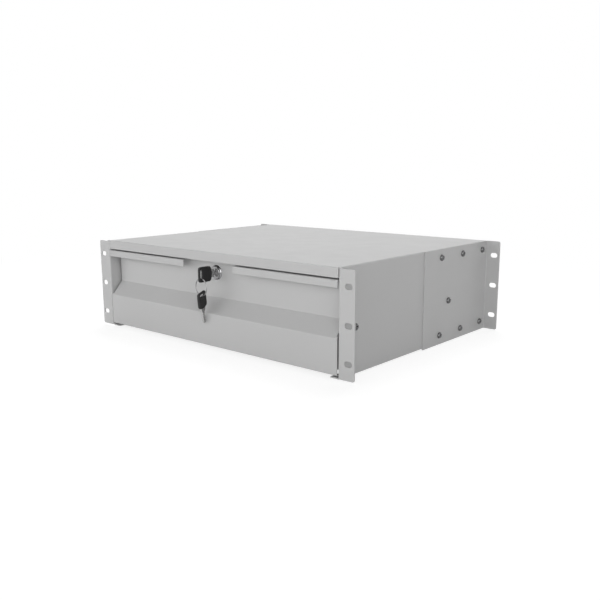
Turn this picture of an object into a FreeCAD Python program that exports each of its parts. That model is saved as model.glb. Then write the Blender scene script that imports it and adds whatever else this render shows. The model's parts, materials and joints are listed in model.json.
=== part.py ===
"""Sliding rack drawer: a lockable folded-steel drawer on ball-bearing slides,
in an open-bottomed case that bolts to the front and rear posts of a 19 inch rack.

Frame: X across the rack, +Y into the rack, +Z up.  The origin is the centre of
the front hole pattern, on the rear face of the front ears, which lies on the posts.
"""
import FreeCAD, Part
import math
import os

# Rack standard
ear_width_total = 482.6
ear_hole_inset = 8.75
hole_rows_z = 44.45
slot_length = 11.0
slot_width = 7.0

# Case
case_sheet = 1.5
case_height = 130.5
case_rear = 352.5
bend_inside = 0.6
ear_reach = 21.8
ear_end_gap = 1.25
ear_root = 2.2
ear_corner = 2.5
top_flange_height = 12.5
top_flange_end_gap = 2.0
bottom_flange_width = 14.0

# Rear brackets
bracket_front = 178.0
bracket_screw_first = 220.0
bracket_screw_pitch = 58.0
bracket_screw_columns = 3
bracket_screw_inset = 11.75
bracket_drop = 1.0

# Screws
screw_radius = 2.0
screw_hole_clearance = 0.2
head_radius = 4.4
head_height = 3.0
recess_length = 5.0
recess_width = 1.05
recess_depth = 1.8
clinch_nut_radius = 4.0
clinch_nut_height = 3.5
thread_clearance = 0.05

# Drawer front panel
front_sheet = 1.2
front_side_gap = 1.4
front_bottom_gap = 4.05
front_top_gap = 2.0
front_lip_height = 9.3
lower_panel_height = 44.0
recess_depth_y = 17.0
recess_slope_height = 19.5
recess_end_relief = 2.0
bottom_return = 6.5
notch_width = 96.0

# Drawer tray
tray_sheet = 1.2
tray_height = 102.0
tray_rear = 344.0
tray_hem = 6.5
tray_hem_gap = 0.3
tray_corner_relief = 4.0
tray_front_wall_drop = 2.75
stud_side_inset = 25.3
stud_inner_column = 80.0
stud_height = 22.0
stud_length = 9.0
stud_nut_across = 7.0
stud_nut_height = 3.2

# Telescopic slides
slide_height_z = -8.0
slide_length = 300.0
slide_front = 19.0
slide_thickness = 12.7
rail_sheet = 1.2
rail_bend = 1.0
outer_rail_height = 44.3
ball_radius = 1.6
race_clearance = 0.2
outer_ball_u = 4.5
ball_offset_u = 3.9
middle_web_u = 2.8
cage_sheet = 0.5
cage_length = 110.0
cage_start = 96.0
cage_web_gap = 0.25
cage_pocket_clearance = 0.1
cage_mouth = 0.2
cage_bend = 0.6
inner_cage_web_u = 4.75
balls_per_row = 4
ball_pitch = 28.0
case_screw_y = (29.5, 241.5)
tray_screw_y = (46.0, 166.0, 286.0)

# Lock
lock_drop = 14.75
lock_flange_radius = 10.0
lock_flange_thickness = 1.2
lock_nose_radius = 8.8
lock_nose_length = 4.0
lock_barrel_radius = 9.2
lock_barrel_length = 16.0
lock_flat_width = 16.4
lock_hole_clearance = 0.2
lock_nut_across = 24.0
lock_nut_height = 3.0
plug_radius = 6.0
plug_clearance = 0.06
plug_tail_square = 7.0
cam_sheet = 2.0
cam_gap = 0.5
cam_reach = 25.0
cam_width = 15.0
cam_tip_width = 12.0
cam_hole_clearance = 0.1
strike_sheet = 1.5
strike_gap = 0.7
strike_width = 28.0
strike_drop = 11.0
strike_foot = 13.0

# Keys and ring
key_head_length = 22.8
key_head_width = 21.0
key_head_thickness = 3.0
key_head_corner = 2.5
key_shoulder_bulge = 2.2
key_slot_centre = 4.4
key_slot_width = 3.0
key_slot_length = 13.0
blade_length = 21.0
blade_width = 6.2
blade_thickness = 2.0
blade_tang = 9.0
blade_shoulder_width = 11.0
blade_shoulder_length = 3.6
blade_cut_depths = (1.1, 0.5, 1.4, 0.8)
blade_cut_pitch = 3.2
keyway_clearance = 0.2
key_bow_gap = 5.5
ring_radius = 11.3
ring_wire_radius = 0.6
ring_play = 0.8
ring_yaw = -3.0
spare_place_on_ring = -7.0
spare_lean = 9.4
spare_twist = 21.0
spare_hang_offset = -1.7

# Places worked out from the sizes above
ear_half = ear_width_total / 2.0
hole_half = ear_half - ear_hole_inset
case_half = ear_half - ear_reach
case_inner = case_half - case_sheet
case_top = case_height / 2.0
case_bottom = -case_height / 2.0
case_bend = bend_inside + case_sheet / 2.0
ear_front = -case_sheet
ear_top = case_top - ear_end_gap
bracket_screw_row = case_top - bracket_screw_inset
bracket_outer = case_half + case_sheet

front_half = case_inner - front_side_gap
front_face = ear_front
front_mid = front_face + front_sheet / 2.0
front_bend = bend_inside + front_sheet / 2.0
front_bottom = case_bottom + front_bottom_gap
front_top = case_top - top_flange_height - front_top_gap
lock_z = front_top - lock_drop
slope_start = front_bottom + lower_panel_height
recess_mid = front_mid + recess_depth_y
recess_face = front_face + recess_depth_y
recess_back = recess_face + front_sheet

tray_half = case_inner - slide_thickness
tray_bottom = front_bottom + front_sheet
tray_front = recess_back
tray_bend = bend_inside + tray_sheet / 2.0
tray_top = tray_bottom + tray_height
stud_outer_column = tray_half - stud_side_inset
stud_columns = (-stud_outer_column, -stud_inner_column, stud_inner_column, stud_outer_column)

rail_mid = rail_sheet / 2.0
race_radius = ball_radius + race_clearance + rail_mid
outer_flange_w = outer_rail_height / 2.0 - rail_mid
outer_ball_w = outer_flange_w - race_radius
middle_flange_w = outer_ball_w - race_radius
inner_ball_u = outer_ball_u + ball_offset_u
inner_ball_w = outer_ball_w - math.sqrt((2.0 * race_radius) ** 2 - ball_offset_u ** 2)
inner_flange_w = inner_ball_w - race_radius
slide_rear = slide_front + slide_length

barrel_end = recess_face + lock_barrel_length
cam_front = barrel_end + cam_gap
nose_face = recess_face - lock_nose_length
bow_end = nose_face - key_bow_gap
bow_start = bow_end - key_head_length
ring_y = bow_start + key_slot_centre
ring_top_z = lock_z - key_slot_length / 2.0 + ring_wire_radius + ring_play
ring_z = ring_top_z - ring_radius
blade_end = bow_end + blade_length


def vec(x, y, z):
    return FreeCAD.Vector(x, y, z)


def box(x0, x1, y0, y1, z0, z1):
    return Part.makeBox(x1 - x0, y1 - y0, z1 - z0, vec(x0, y0, z0))


def cylinder(radius, start, end):
    along = end - start
    return Part.makeCylinder(radius, along.Length, start, along)


def mirrored(shape):
    """The same piece for the other side of the rack."""
    return shape.mirror(vec(0, 0, 0), vec(1, 0, 0))


def plane_point(axis, offset, a, b):
    """A sketch point (a, b) on the plane across the named axis."""
    if axis == "x":
        return vec(offset, a, b)
    if axis == "y":
        return vec(a, offset, b)
    return vec(a, b, offset)


def axis_vector(axis, length):
    return {"x": vec(length, 0, 0), "y": vec(0, length, 0), "z": vec(0, 0, length)}[axis]


def unit(start, end):
    length = math.hypot(end[0] - start[0], end[1] - start[1])
    return ((end[0] - start[0]) / length, (end[1] - start[1]) / length)


def strip_side(path, radii, offset):
    """One long side of a folded strip: straight stretches and tangent arcs, as
    (kind, points), at a signed distance to the left of the centre line."""
    directions = [unit(path[i], path[i + 1]) for i in range(len(path) - 1)]
    left = directions[0]
    here = (path[0][0] - left[1] * offset, path[0][1] + left[0] * offset)
    pieces = []
    for corner, radius, before, after in zip(path[1:-1], radii, directions, directions[1:]):
        cross = before[0] * after[1] - before[1] * after[0]
        turn = math.atan2(cross, before[0] * after[0] + before[1] * after[1])
        side = math.copysign(1.0, turn)
        run = radius * math.tan(abs(turn) / 2.0)
        start = (corner[0] - before[0] * run, corner[1] - before[1] * run)
        centre = (start[0] - before[1] * radius * side, start[1] + before[0] * radius * side)
        reach = radius - offset * side
        points = []
        for share in (0.0, 0.5, 1.0):
            angle = turn * share
            spoke = (before[1] * side, -before[0] * side)
            turned = (spoke[0] * math.cos(angle) - spoke[1] * math.sin(angle),
                      spoke[0] * math.sin(angle) + spoke[1] * math.cos(angle))
            points.append((centre[0] + turned[0] * reach, centre[1] + turned[1] * reach))
        if math.hypot(points[0][0] - here[0], points[0][1] - here[1]) > 1e-6:
            pieces.append(("line", [here, points[0]]))
        pieces.append(("arc", points))
        here = points[2]
    last = directions[-1]
    end = (path[-1][0] - last[1] * offset, path[-1][1] + last[0] * offset)
    if math.hypot(end[0] - here[0], end[1] - here[1]) > 1e-6:
        pieces.append(("line", [here, end]))
    return pieces


def folded_strip(path, radii, thickness, axis, start, length):
    """A folded sheet: its centre line in section, swept straight along one axis."""
    left = strip_side(path, radii, thickness / 2.0)
    right = strip_side(path, radii, -thickness / 2.0)
    back = [(kind, points[::-1]) for kind, points in reversed(right)]
    caps = [("line", [left[-1][1][-1], back[0][1][0]]), ("line", [back[-1][1][-1], left[0][1][0]])]
    edges = []
    for kind, points in left + caps[:1] + back + caps[1:]:
        placed = [plane_point(axis, start, a, b) for a, b in points]
        if kind == "arc":
            edges.append(Part.Arc(*placed).toShape())
        else:
            edges.append(Part.makeLine(*placed))
    return Part.Face(Part.Wire(edges)).extrude(axis_vector(axis, length))


def polygon_plate(outline, axis, start, thickness):
    points = [plane_point(axis, start, a, b) for a, b in outline]
    return Part.Face(Part.makePolygon(points + points[:1])).extrude(axis_vector(axis, thickness))


def slot_cutter(x, y0, y1, z):
    """A rounded slot along X, cut through a wall that faces Y."""
    radius = slot_width / 2.0
    reach = slot_length / 2.0 - radius
    bar = box(x - reach, x + reach, y0, y1, z - radius, z + radius)
    ends = [cylinder(radius, vec(x + s * reach, y0, z), vec(x + s * reach, y1, z)) for s in (-1, 1)]
    return bar.fuse(ends)


def rounded_corners(shape, x, radius):
    """Rounds the plate corners that stand at the given X, on edges along Y."""
    corners = [e for e in shape.Edges
               if abs(e.CenterOfMass.x - x) < 1e-3
               and abs(abs(e.tangentAt(e.FirstParameter).y) - 1.0) < 1e-6
               and e.Length < 2.0 * case_sheet]
    return shape.makeFillet(radius, corners)


def flange_slots(shape, y0, y1):
    for row in (-hole_rows_z, 0.0, hole_rows_z):
        shape = shape.cut(slot_cutter(hole_half, y0 - 1.0, y1 + 1.0, row))
    return shape


def bracket_screw_places():
    columns = [bracket_screw_first + bracket_screw_pitch * i for i in range(bracket_screw_columns)]
    return [(y, z) for z in (bracket_screw_row, -bracket_screw_row) for y in columns]


def side_hole_cutters(places, x0, x1):
    radius = screw_radius + screw_hole_clearance
    return [cylinder(radius, vec(x0, y, z), vec(x1, y, z)) for y, z in places]


def right_ear():
    """The ear and the fold that joins it to the case side, with its three slots."""
    side_mid = case_half - case_sheet / 2.0
    ear_mid = ear_front + case_sheet / 2.0
    path = [(side_mid, ear_mid + case_bend), (side_mid, ear_mid), (ear_half, ear_mid)]
    ear = folded_strip(path, [case_bend], case_sheet, "z", -ear_top, case_top + ear_top)
    root = case_half + ear_root
    above = box(root, ear_half + 1.0, ear_front - 1.0, 1.0, ear_top, case_top + 1.0)
    ear = rounded_corners(ear.cut(above), ear_half, ear_corner)
    return flange_slots(ear, ear_front, 0.0)


def case_shell():
    """Top, sides, ears and flanges, folded from one sheet and open below."""
    side_mid = case_half - case_sheet / 2.0
    top_mid = case_top - case_sheet / 2.0
    bottom_mid = case_bottom + case_sheet / 2.0
    flange_end = case_half - bottom_flange_width
    path = [(-flange_end, bottom_mid), (-side_mid, bottom_mid), (-side_mid, top_mid),
            (side_mid, top_mid), (side_mid, bottom_mid), (flange_end, bottom_mid)]
    fold_back = ear_front + case_sheet / 2.0 + case_bend
    shell = folded_strip(path, [case_bend] * 4, case_sheet, "y", fold_back, case_rear - fold_back)
    flange_mid = ear_front + case_sheet / 2.0
    flange_path = [(fold_back, top_mid), (flange_mid, top_mid), (flange_mid, case_top - top_flange_height)]
    flange_half = case_inner - case_bend + case_sheet / 2.0 + ear_root - top_flange_end_gap
    top_flange = folded_strip(flange_path, [case_bend], case_sheet, "x", -flange_half, 2 * flange_half)
    ear = right_ear()
    shell = shell.fuse([top_flange, ear, mirrored(ear)]).removeSplitter()
    places = bracket_screw_places() + [(y, slide_height_z) for y in case_screw_y]
    cutters = side_hole_cutters(places, case_inner - 1.0, case_half + 1.0)
    return shell.cut(cutters + [mirrored(c) for c in cutters])


def rear_bracket():
    """Plate outside the case side, with a flange that bolts to the rear post."""
    plate_mid = case_half + case_sheet / 2.0
    flange_mid = case_rear - case_sheet / 2.0
    path = [(plate_mid, bracket_front), (plate_mid, flange_mid), (ear_half, flange_mid)]
    bottom = case_bottom - bracket_drop
    bracket = folded_strip(path, [case_bend], case_sheet, "z", bottom, case_top - bottom)
    bracket = rounded_corners(bracket, ear_half, ear_corner)
    bracket = flange_slots(bracket, case_rear - case_sheet, case_rear)
    places = bracket_screw_places() + [(y, slide_height_z) for y in case_screw_y if y > bracket_front]
    return bracket.cut(side_hole_cutters(places, case_half - 1.0, bracket_outer + 1.0))


def pan_screw(seat, direction, length):
    """Pan-head screw with a cross recess.  The seat is the point under its head."""
    edge = head_height * 0.35
    crown = Part.Arc(vec(head_radius, 0, edge), vec(head_radius * 0.72, 0, head_height * 0.86),
                     vec(0, 0, head_height)).toShape()
    sides = Part.makePolygon([vec(0, 0, head_height), vec(0, 0, -length), vec(screw_radius, 0, -length),
                              vec(screw_radius, 0, 0), vec(head_radius, 0, 0), vec(head_radius, 0, edge)])
    profile = Part.Face(Part.Wire([crown] + sides.Edges))
    screw = profile.revolve(vec(0, 0, 0), vec(0, 0, 1), 360)
    reach = recess_length / 2.0
    half = recess_width / 2.0
    floor = head_height - recess_depth
    for a, b in ((reach, half), (half, reach)):
        screw = screw.cut(box(-a, a, -b, b, floor, head_height + 1.0))
    turn = FreeCAD.Rotation(vec(0, 0, 1), direction)
    screw.Placement = FreeCAD.Placement(seat, turn)
    return screw


def bracket_screws():
    length = 2.0 * case_sheet + clinch_nut_height
    return [pan_screw(vec(bracket_outer, y, z), vec(1, 0, 0), length) for y, z in bracket_screw_places()]


def bracket_nuts():
    nuts = []
    for y, z in bracket_screw_places():
        end = vec(case_inner - clinch_nut_height, y, z)
        seat = vec(case_inner, y, z)
        nut = cylinder(clinch_nut_radius, end, seat)
        nuts.append(nut.cut(cylinder(screw_radius + thread_clearance, end, seat)))
    return nuts


def rail_case_screws():
    """The two screws that hold the fixed rail, one under the rear bracket."""
    screws = []
    for y in case_screw_y:
        face = bracket_outer if y > bracket_front else case_half
        length = face - case_inner + rail_sheet
        screws.append(pan_screw(vec(face, y, slide_height_z), vec(1, 0, 0), length))
    return screws


def rail_section(half_path, radii, sheet, start, length):
    """A rail or ball cage, the same above and below its middle.  Its path is in
    (distance in from the case side, height over the slide's middle)."""
    upper = [(case_inner - u, slide_height_z + w) for u, w in half_path]
    lower = [(case_inner - u, slide_height_z - w) for u, w in reversed(half_path)]
    return folded_strip(upper + lower, radii + radii[::-1], sheet, "y", start, length)


def race_end(ball_u, ball_w, angle):
    """The last two points of a path that wraps a ball from its top or bottom
    (90 or -90 degrees) round to the given angle."""
    top = 90.0 if angle > 0 and angle < 180 else -90.0
    sweep = math.radians(angle - top)
    run = race_radius * math.tan(abs(sweep) / 2.0)
    side = math.copysign(1.0, math.cos(math.radians(angle)))
    level = ball_w + math.copysign(race_radius, top)
    a = math.radians(angle)
    corner = (ball_u + side * run, level)
    return (ball_u + race_radius * math.cos(a), ball_w + race_radius * math.sin(a)), corner


def slide_outer():
    """Fixed rail: its upper and lower races hook over the outer balls."""
    tip, corner = race_end(outer_ball_u, outer_ball_w, 30.0)
    path = [tip, corner, (rail_mid, outer_flange_w)]
    rail = rail_section(path, [race_radius, rail_bend], rail_sheet, slide_front, slide_length)
    radius = screw_radius + thread_clearance
    for y in case_screw_y:
        rail = rail.cut(cylinder(radius, vec(case_inner - 2 * rail_sheet, y, slide_height_z),
                                 vec(case_inner + 1.0, y, slide_height_z)))
    return rail


def slide_middle():
    """Middle rail: each flange dips under an outer ball and then curls over an
    inner ball, in one S-shaped fold of two equal arcs."""
    slope = math.atan2(ball_offset_u, outer_ball_w - inner_ball_w)
    inflection_u = (outer_ball_u + inner_ball_u) / 2.0
    rise = (outer_ball_w + inner_ball_w) / 2.0 - middle_flange_w
    curl_w = inner_ball_w + race_radius
    curl_u = inner_ball_u + race_radius
    path = [(curl_u, inner_ball_w), (curl_u, curl_w),
            (inflection_u + rise / math.tan(slope), curl_w),
            (inflection_u - rise / math.tan(slope), middle_flange_w),
            (middle_web_u, middle_flange_w)]
    radii = [race_radius, race_radius, race_radius, rail_bend]
    return rail_section(path, radii, rail_sheet, slide_front, slide_length)


def slide_inner():
    """Drawer rail, screwed to the tray: it carries the inner balls from below."""
    tip, corner = race_end(inner_ball_u, inner_ball_w, 240.0 - 360.0)
    web = slide_thickness - rail_mid
    path = [tip, corner, (web, inner_flange_w)]
    rail = rail_section(path, [race_radius, rail_bend], rail_sheet, slide_front, slide_length)
    radius = screw_radius + thread_clearance
    for y in tray_screw_y:
        rail = rail.cut(cylinder(radius, vec(tray_half - 1.0, y, slide_height_z),
                                 vec(tray_half + 2 * rail_sheet, y, slide_height_z)))
    return rail


def ball_places(ball_u, ball_w):
    first = cage_start + (cage_length - ball_pitch * (balls_per_row - 1)) / 2.0
    return [vec(case_inner - ball_u, first + ball_pitch * i, slide_height_z + side * ball_w)
            for side in (1, -1) for i in range(balls_per_row)]


def pocketed(cage, places):
    """Cuts the snap-in ball pockets, which break through the strip's free edge."""
    radius = ball_radius + cage_pocket_clearance
    cutters = [cylinder(radius, p - vec(0, 0, ball_radius), p + vec(0, 0, ball_radius)) for p in places]
    return cage.cut(cutters)


def outer_cage():
    web = rail_sheet + cage_web_gap + cage_sheet / 2.0
    path = [(outer_ball_u + ball_radius - cage_mouth, outer_ball_w), (web, outer_ball_w)]
    cage = rail_section(path, [cage_bend], cage_sheet, cage_start, cage_length)
    return pocketed(cage, ball_places(outer_ball_u, outer_ball_w))


def inner_cage():
    shoulder_u = inner_ball_u - ball_radius + cage_pocket_clearance
    drop = shoulder_u - inner_cage_web_u
    path = [(inner_ball_u + ball_radius - cage_mouth, inner_ball_w), (shoulder_u, inner_ball_w),
            (inner_cage_web_u, inner_ball_w - 1.15 * drop)]
    cage = rail_section(path, [cage_bend, cage_bend], cage_sheet, cage_start, cage_length)
    return pocketed(cage, ball_places(inner_ball_u, inner_ball_w))


def balls(ball_u, ball_w):
    return [Part.makeSphere(ball_radius, place) for place in ball_places(ball_u, ball_w)]


def drawer_front():
    """Front panel folded into a finger recess, with a pull lip notched for the lock."""
    recess_low = slope_start + recess_slope_height
    top_mid = front_top - front_sheet / 2.0
    bottom_mid = front_bottom + front_sheet / 2.0
    path = [(front_face + bottom_return, bottom_mid), (front_mid, bottom_mid), (front_mid, slope_start),
            (recess_mid, recess_low), (recess_mid, top_mid), (front_mid, top_mid),
            (front_mid, front_top - front_lip_height)]
    panel = folded_strip(path, [front_bend] * 5, front_sheet, "x", -front_half, 2 * front_half)
    relief_from = front_face + front_sheet + front_bend / 2.0
    relief = box(front_half - recess_end_relief, front_half + 1.0, relief_from, recess_back + 1.0,
                 slope_start, front_top - front_sheet - front_bend)
    half = notch_width / 2.0
    notch = box(-half, half, front_face - 1.0, recess_face - 0.1,
                front_top - front_lip_height - 1.0, front_top + 1.0)
    return panel.cut([relief, mirrored(relief), notch, lock_hole(recess_face - 1.0, tray_front + 1.0)])


def lock_hole(y0, y1):
    """Round hole with two flats, which keeps the lock from turning."""
    grow = lock_hole_clearance
    hole = cylinder(lock_barrel_radius + grow, vec(0, y0, lock_z), vec(0, y1, lock_z))
    half = lock_flat_width / 2.0 + grow
    reach = 2.0 * lock_barrel_radius
    return hole.common(box(-reach, reach, y0, y1, lock_z - half, lock_z + half))


def drawer_tray():
    """Folded tray: floor, sides and back with their rims hemmed flat, and a plain front wall."""
    side_mid = tray_half - tray_sheet / 2.0
    floor_mid = tray_bottom + tray_sheet / 2.0
    rim_mid = tray_top - tray_sheet / 2.0
    hem_low = tray_top - tray_hem
    hem_step = tray_sheet + tray_hem_gap
    hem_bend = hem_step / 2.0
    hem_mid = side_mid - hem_step
    front_wall = tray_front + tray_sheet / 2.0
    back_wall = tray_rear - tray_sheet / 2.0
    floor_front = front_wall + tray_bend
    floor_rear = back_wall - tray_bend
    section = [(-hem_mid, hem_low), (-hem_mid, rim_mid), (-side_mid, rim_mid), (-side_mid, floor_mid),
               (side_mid, floor_mid), (side_mid, rim_mid), (hem_mid, rim_mid), (hem_mid, hem_low)]
    bends = [hem_bend, hem_bend, tray_bend, tray_bend, hem_bend, hem_bend]
    tray = folded_strip(section, bends, tray_sheet, "y", floor_front, floor_rear - floor_front)
    wall_half = tray_half - tray_sheet / 2.0
    front_top_z = front_top - tray_front_wall_drop
    front = folded_strip([(floor_front, floor_mid), (front_wall, floor_mid), (front_wall, front_top_z)],
                         [tray_bend], tray_sheet, "x", -wall_half, 2 * wall_half)
    back = folded_strip([(floor_rear, floor_mid), (back_wall, floor_mid), (back_wall, rim_mid),
                         (back_wall - hem_step, rim_mid), (back_wall - hem_step, hem_low)],
                        [tray_bend, hem_bend, hem_bend], tray_sheet, "x", -wall_half, 2 * wall_half)
    relief = box(tray_half - tray_corner_relief, tray_half - tray_sheet - 0.05,
                 tray_rear - tray_corner_relief, tray_rear - tray_sheet - 0.05, hem_low - 1.0, tray_top + 1.0)
    tray = tray.cut([relief, mirrored(relief)])
    back = back.cut([relief, mirrored(relief)])
    posts = []
    for y0, y1 in ((tray_front, floor_front), (floor_rear, tray_rear)):
        post = box(tray_half - tray_sheet, tray_half, y0, y1, tray_bottom + tray_bend, tray_top - tray_bend)
        posts += [post, mirrored(post)]
    tray = tray.fuse([front, back] + posts).removeSplitter()
    radius = screw_radius + screw_hole_clearance
    cutters = [lock_hole(tray_front - 1.0, tray_front + 2.0 * tray_sheet)]
    for x in stud_columns:
        cutters.append(cylinder(radius, vec(x, tray_front - 1.0, stud_height),
                                vec(x, tray_front + 2.0 * tray_sheet, stud_height)))
    for y in tray_screw_y:
        hole = cylinder(radius, vec(tray_half - 2.0 * tray_sheet, y, slide_height_z),
                        vec(tray_half + 1.0, y, slide_height_z))
        cutters += [hole, mirrored(hole)]
    return tray.cut(cutters)


def front_studs():
    return [cylinder(screw_radius, vec(x, recess_back, stud_height),
                     vec(x, recess_back + stud_length, stud_height)) for x in stud_columns]


def hexagon_nut(across, height, bore, seat, chamfer):
    """Hexagon nut on an axis along +Y, seated at its front face."""
    corner = across / math.sqrt(3.0)
    outline = [(seat.x + corner * math.cos(math.radians(60 * i)),
                seat.z + corner * math.sin(math.radians(60 * i))) for i in range(6)]
    nut = polygon_plate(outline, "y", seat.y, height)
    far = seat + vec(0, height, 0)
    blank = Part.makeCone(corner + height, corner - chamfer, height + chamfer, seat, vec(0, 1, 0))
    return nut.common(blank).cut(cylinder(bore, seat, far))


def front_nuts():
    seat_y = tray_front + tray_sheet
    bore = screw_radius + thread_clearance
    return [hexagon_nut(stud_nut_across, stud_nut_height, bore, vec(x, seat_y, stud_height), 0.4)
            for x in stud_columns]


def tray_screws():
    face = tray_half - tray_sheet
    length = tray_sheet + rail_sheet
    return [pan_screw(vec(face, y, slide_height_z), vec(-1, 0, 0), length) for y in tray_screw_y]


def lock_barrel():
    """Die-cast lock barrel: round nose and flange in front, flattened thread behind."""
    back = recess_face
    edge = 0.5
    outline = [(0, nose_face), (lock_nose_radius - edge, nose_face), (lock_nose_radius, nose_face + edge),
               (lock_nose_radius, back - lock_flange_thickness - edge),
               (lock_flange_radius - edge, back - lock_flange_thickness),
               (lock_flange_radius, back - lock_flange_thickness + edge),
               (lock_flange_radius, back), (0, back)]
    points = [vec(r, y, lock_z) for r, y in outline]
    nose = Part.Face(Part.makePolygon(points + points[:1])).revolve(vec(0, 0, lock_z), vec(0, 1, 0), 360)
    thread = cylinder(lock_barrel_radius, vec(0, back, lock_z), vec(0, barrel_end, lock_z))
    half = lock_flat_width / 2.0
    reach = 2.0 * lock_barrel_radius
    thread = thread.common(box(-reach, reach, back, barrel_end, lock_z - half, lock_z + half))
    bore = cylinder(plug_radius + plug_clearance, vec(0, nose_face - 1.0, lock_z),
                    vec(0, barrel_end + 1.0, lock_z))
    return nose.fuse(thread).cut(bore)


def lock_nut():
    seat = vec(0, tray_front + tray_sheet, lock_z)
    return hexagon_nut(lock_nut_across, lock_nut_height, lock_barrel_radius + thread_clearance, seat, 0.8)


def lock_plug():
    """Turning plug with a keyway from its face and a square tail for the cam."""
    body = cylinder(plug_radius, vec(0, nose_face + 0.3, lock_z), vec(0, cam_front, lock_z))
    half = plug_tail_square / 2.0
    tail = box(-half, half, cam_front, cam_front + cam_sheet, lock_z - half, lock_z + half)
    grow = keyway_clearance
    keyway = box(-blade_thickness / 2.0 - grow, blade_thickness / 2.0 + grow, nose_face - 1.0,
                 blade_end + 2.0 * grow, lock_z - blade_width / 2.0 - grow, lock_z + blade_width / 2.0 + grow)
    screw_hole = cylinder(screw_radius + thread_clearance, vec(0, cam_front - 3.5, lock_z),
                          vec(0, cam_front + cam_sheet + 1.0, lock_z))
    return body.fuse(tail).cut([keyway, screw_hole])


def lock_cam():
    """Flat cam, lying to the left when the lock is open."""
    half_tip = cam_tip_width / 2.0
    tip_x = -cam_reach + half_tip
    arm = polygon_plate([(0, lock_z - cam_width / 2.0), (0, lock_z + cam_width / 2.0),
                         (tip_x, lock_z + half_tip), (tip_x, lock_z - half_tip)], "y", cam_front, cam_sheet)
    ends = [cylinder(r, vec(x, cam_front, lock_z), vec(x, cam_front + cam_sheet, lock_z))
            for x, r in ((0, cam_width / 2.0), (tip_x, half_tip))]
    half = plug_tail_square / 2.0 + cam_hole_clearance
    hole = box(-half, half, cam_front - 1.0, cam_front + cam_sheet + 1.0, lock_z - half, lock_z + half)
    return arm.fuse(ends).removeSplitter().cut(hole)


def cam_screw():
    return pan_screw(vec(0, cam_front + cam_sheet, lock_z), vec(0, 1, 0), cam_sheet + 3.0)


def lock_strike():
    """Angle welded under the top plate: the raised cam stands behind its drop."""
    rear = cam_front - strike_gap
    mid = rear - strike_sheet / 2.0
    ceiling = case_top - case_sheet
    foot_mid = ceiling - strike_sheet / 2.0
    radius = bend_inside + strike_sheet / 2.0
    path = [(rear - strike_foot, foot_mid), (mid, foot_mid), (mid, ceiling - strike_drop)]
    return folded_strip(path, [radius], strike_sheet, "x", -strike_width / 2.0, strike_width)


def key_outline_head():
    """Moulded key head in its own frame: along +Y from its outer end, across Z."""
    half = key_head_width / 2.0
    c = key_head_corner
    nook = c * (1.0 - math.sqrt(0.5))
    length = key_head_length
    shoulder = length - key_shoulder_bulge
    waist = half - 1.0
    edges = [Part.Arc(vec(0, c, -half), vec(0, nook, -half + nook), vec(0, 0, -half + c)).toShape(),
             Part.makeLine(vec(0, 0, -half + c), vec(0, 0, half - c)),
             Part.Arc(vec(0, 0, half - c), vec(0, nook, half - nook), vec(0, c, half)).toShape(),
             Part.makeLine(vec(0, c, half), vec(0, shoulder - c, waist)),
             Part.Arc(vec(0, shoulder - c, waist), vec(0, shoulder - nook, waist - nook),
                      vec(0, shoulder, waist - c)).toShape(),
             Part.Arc(vec(0, shoulder, waist - c), vec(0, length, 0), vec(0, shoulder, c - waist)).toShape(),
             Part.Arc(vec(0, shoulder, c - waist), vec(0, shoulder - nook, nook - waist),
                      vec(0, shoulder - c, -waist)).toShape(),
             Part.makeLine(vec(0, shoulder - c, -waist), vec(0, c, -half))]
    return Part.Face(Part.Wire(edges))


def key_pieces():
    """Head and blade of one key, pointing along +Y from the head's outer end."""
    half = key_head_thickness / 2.0
    head = key_outline_head().extrude(vec(key_head_thickness, 0, 0))
    head.translate(vec(-half, 0, 0))
    rim = [e for e in head.Edges if abs(abs(e.CenterOfMass.x) - half) < 1e-6]
    head = head.makeFillet(0.6, rim)
    radius = key_slot_width / 2.0
    reach = key_slot_length / 2.0 - radius
    centre = key_slot_centre
    slot = box(-half - 1, half + 1, centre - radius, centre + radius, -reach, reach)
    slot = slot.fuse([cylinder(radius, vec(-half - 1, centre, s * reach), vec(half + 1, centre, s * reach))
                      for s in (-1, 1)])
    blade = key_blade()
    return head.cut([slot, blade]), blade


def key_blade():
    """Flat blade with a tang inside the head, a wide shoulder, a pointed tip and cut notches."""
    half = blade_width / 2.0
    wide = blade_shoulder_width / 2.0
    start = key_head_length - blade_tang
    shoulder = key_head_length - key_shoulder_bulge
    stop = key_head_length + blade_shoulder_length
    end = key_head_length + blade_length
    outline = [(start, -half), (shoulder, -half), (shoulder, -wide), (stop, -wide), (stop, -half),
               (end - half, -half), (end, -0.5), (end, 0.5), (end - half, half)]
    for number, depth in enumerate(blade_cut_depths):
        middle = end - half - blade_cut_pitch * (number + 0.8)
        outline += [(middle + depth, half), (middle, half - depth), (middle - depth, half)]
    outline += [(stop, half), (stop, wide), (shoulder, wide), (shoulder, half), (start, half)]
    return polygon_plate(outline, "x", -blade_thickness / 2.0, blade_thickness)


def placed_keys():
    """The key in the lock, and the spare that hangs and leans on the ring."""
    head, blade = key_pieces()
    in_lock = FreeCAD.Placement(vec(0, bow_start, lock_z), FreeCAD.Rotation())
    hang = vec(0, key_slot_centre - key_slot_width / 2.0 + ring_wire_radius + ring_play, spare_hang_offset)
    down = FreeCAD.Rotation(vec(1, 0, 0), -90.0 + spare_lean)
    turn = FreeCAD.Rotation(vec(0, 0, 1), spare_twist).multiply(down)
    hanging = FreeCAD.Placement(ring_point(), turn).multiply(FreeCAD.Placement(hang * -1.0, FreeCAD.Rotation()))
    pieces = {}
    for name, placement in (("key", in_lock), ("spare_key", hanging)):
        for part_name, shape in (("head", head), ("blade", blade)):
            copy = shape.copy()
            copy.Placement = placement.multiply(copy.Placement)
            pieces[name + "_" + part_name] = copy
    return pieces


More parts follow.
